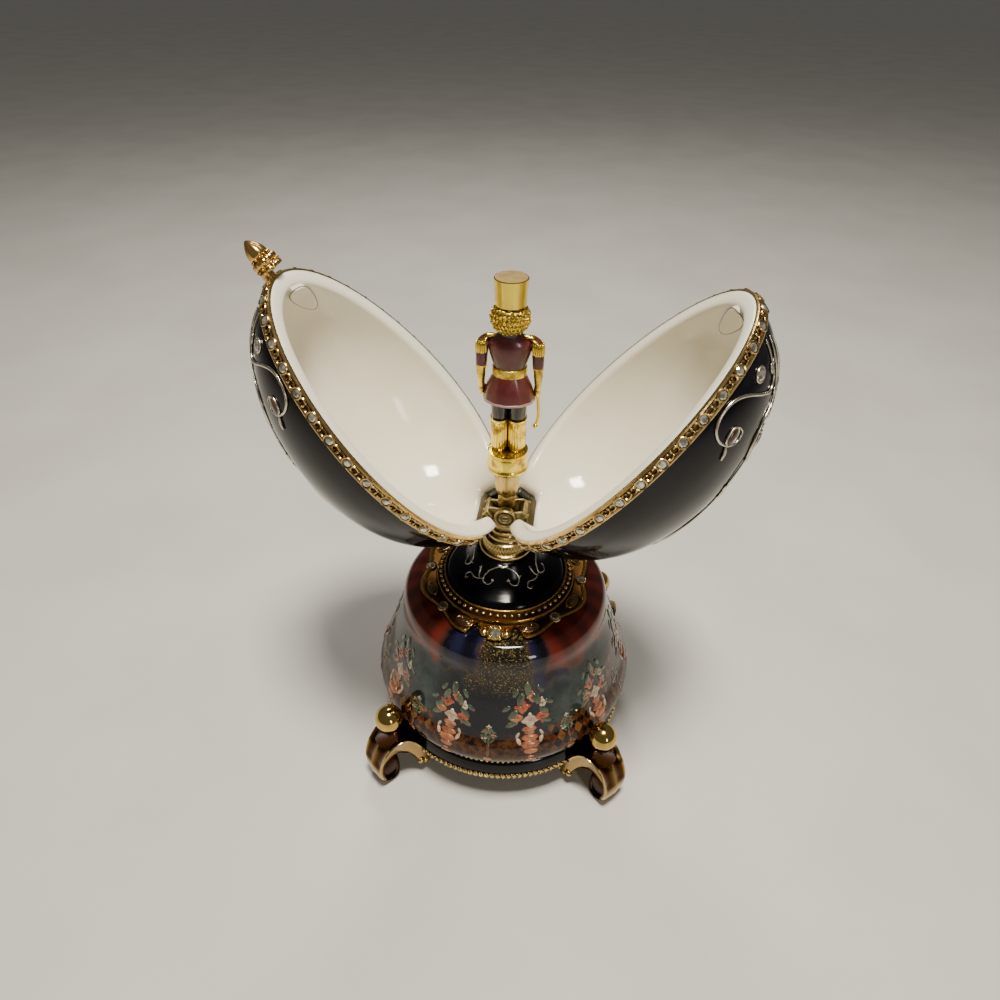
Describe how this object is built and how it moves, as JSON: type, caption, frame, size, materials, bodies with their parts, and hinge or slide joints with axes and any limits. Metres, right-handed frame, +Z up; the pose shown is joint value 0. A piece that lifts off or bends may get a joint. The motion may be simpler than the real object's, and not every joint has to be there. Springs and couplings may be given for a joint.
{
  "type": "musical egg ornament",
  "caption": "Porcelain egg on a printed bell-shaped pedestal with scroll feet; its hinged halves open to show a toy soldier on a post.",
  "frame": {"origin": "centre of the open ornament's outline on the surface it stands on", "axes": "+Z up, the hinge pin along Y, the halves open towards -X and +X, the soldier faces +Y"},
  "size_m": [0.1338, 0.089, 0.1676],
  "materials": {
    "black_enamel": "glossy black glaze",
    "cream_porcelain": "glossy cream glaze inside, glossy black outside",
    "printed_porcelain": "glossy printed porcelain",
    "antique_gold": "antique gold plate, polished on the high parts",
    "brass": "dull brass",
    "bright_gold": "bright gold plate with painted coat and trousers"
  },
  "bodies": {
    "stand": {"base_ring": "black_enamel", "black_cap": "black_enamel", "brass_neck": "brass", "foot_1": "antique_gold", "foot_2": "antique_gold", "foot_3": "antique_gold", "foot_4": "antique_gold", "gilt_collar": "antique_gold", "hinge_pin": "brass", "lower_rope": "antique_gold", "printed_bell": "printed_porcelain", "toy_soldier": "bright_gold", "under_plate": "brass", "upper_rope": "antique_gold"},
    "left_half": {"left_shell": "cream_porcelain", "left_rim_band": "antique_gold", "left_hinge_leaf": "brass", "left_plaque": "cream_porcelain", "finial": "antique_gold"},
    "right_half": {"right_shell": "cream_porcelain", "right_rim_band": "antique_gold", "right_hinge_leaf": "brass", "right_plaque": "cream_porcelain"}
  },
  "joints": [
    {"name": "left_hinge", "type": "hinge", "parent": "stand", "child": "left_half", "pos_m": [0.00049, 0, 0.09], "axis": [0, 1, 0], "range_deg": [0, 40.3]},
    {"name": "right_hinge", "type": "hinge", "parent": "stand", "child": "right_half", "pos_m": [0.00049, 0, 0.09], "axis": [0, -1, 0], "range_deg": [0, 39.2]}
  ]
}
